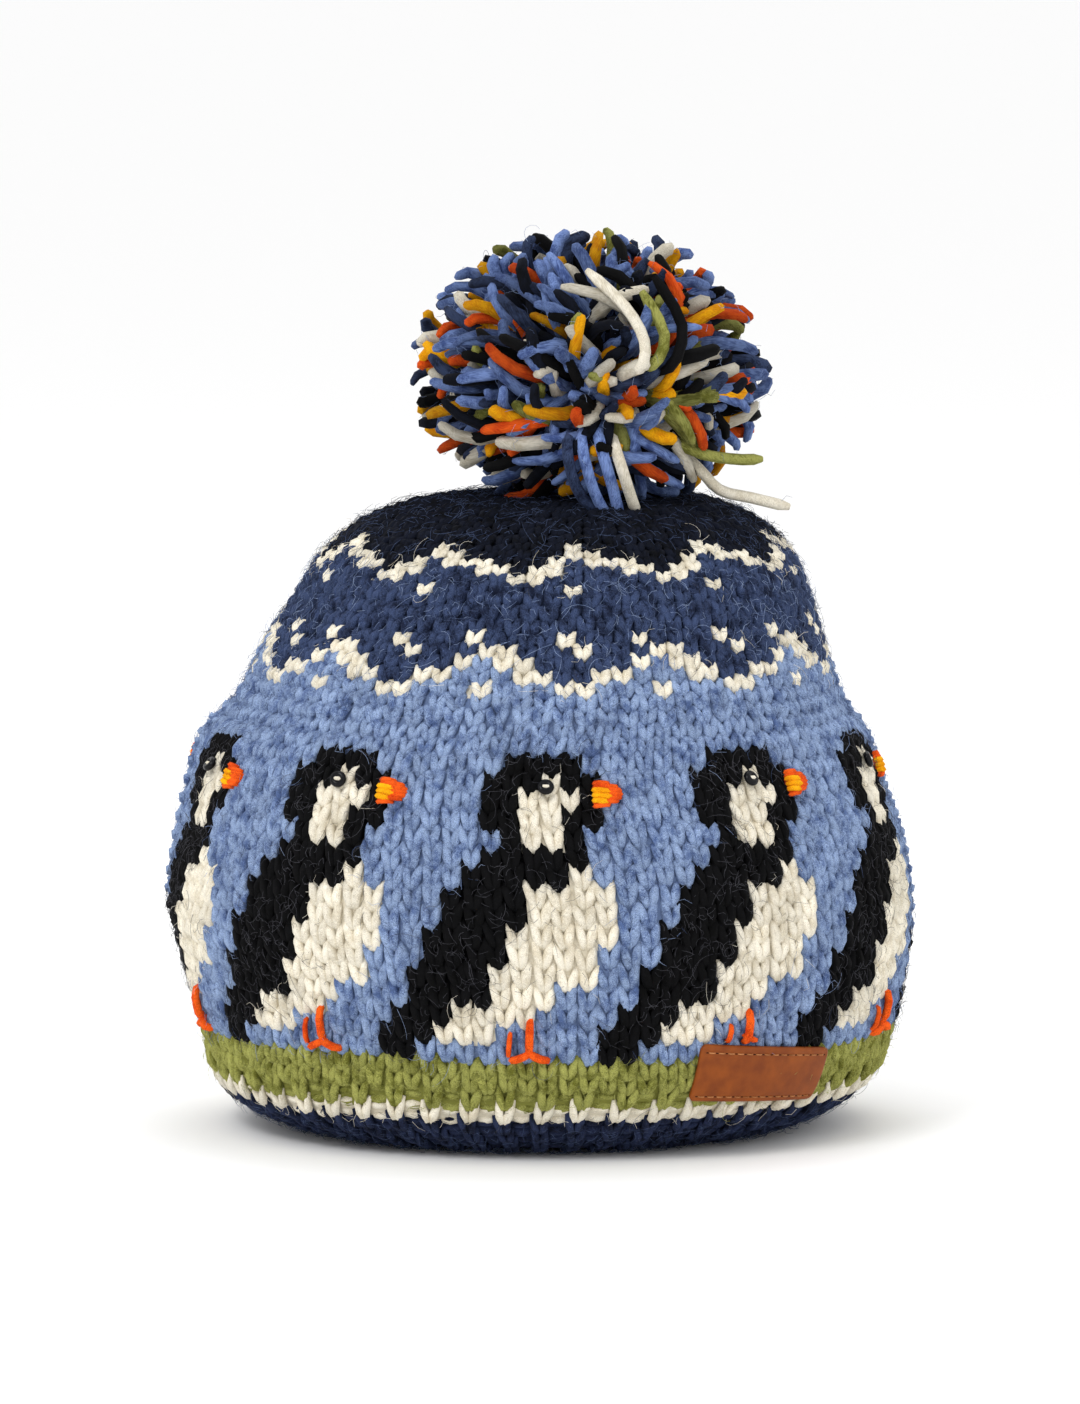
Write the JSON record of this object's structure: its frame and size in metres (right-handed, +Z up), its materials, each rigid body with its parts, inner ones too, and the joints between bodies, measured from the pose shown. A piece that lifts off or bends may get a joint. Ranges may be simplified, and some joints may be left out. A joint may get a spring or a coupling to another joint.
{
  "type": "tea cosy",
  "caption": "Hand-knitted round tea cosy with side slots for spout and handle, open hem, pompom on the crown and a small blank leather patch.",
  "frame": {"origin": "centre of the whole object's box on the surface it stands on, under the middle of the body", "axes": "+Z up through the crown, +X from the spout's slot to the handle's slot, -Y to the front"},
  "size_m": [0.1947, 0.1753, 0.2347],
  "materials": {
    "blue_wool": "hand-knitted heathered wool",
    "mixed_wool": "cut wool yarn in mixed colours",
    "tan_leather": "smooth tan leather, stitched border"
  },
  "bodies": {
    "root": {"knitted_body": "blue_wool", "pompom": "mixed_wool", "leather_patch": "tan_leather"}
  },
  "joints": []
}
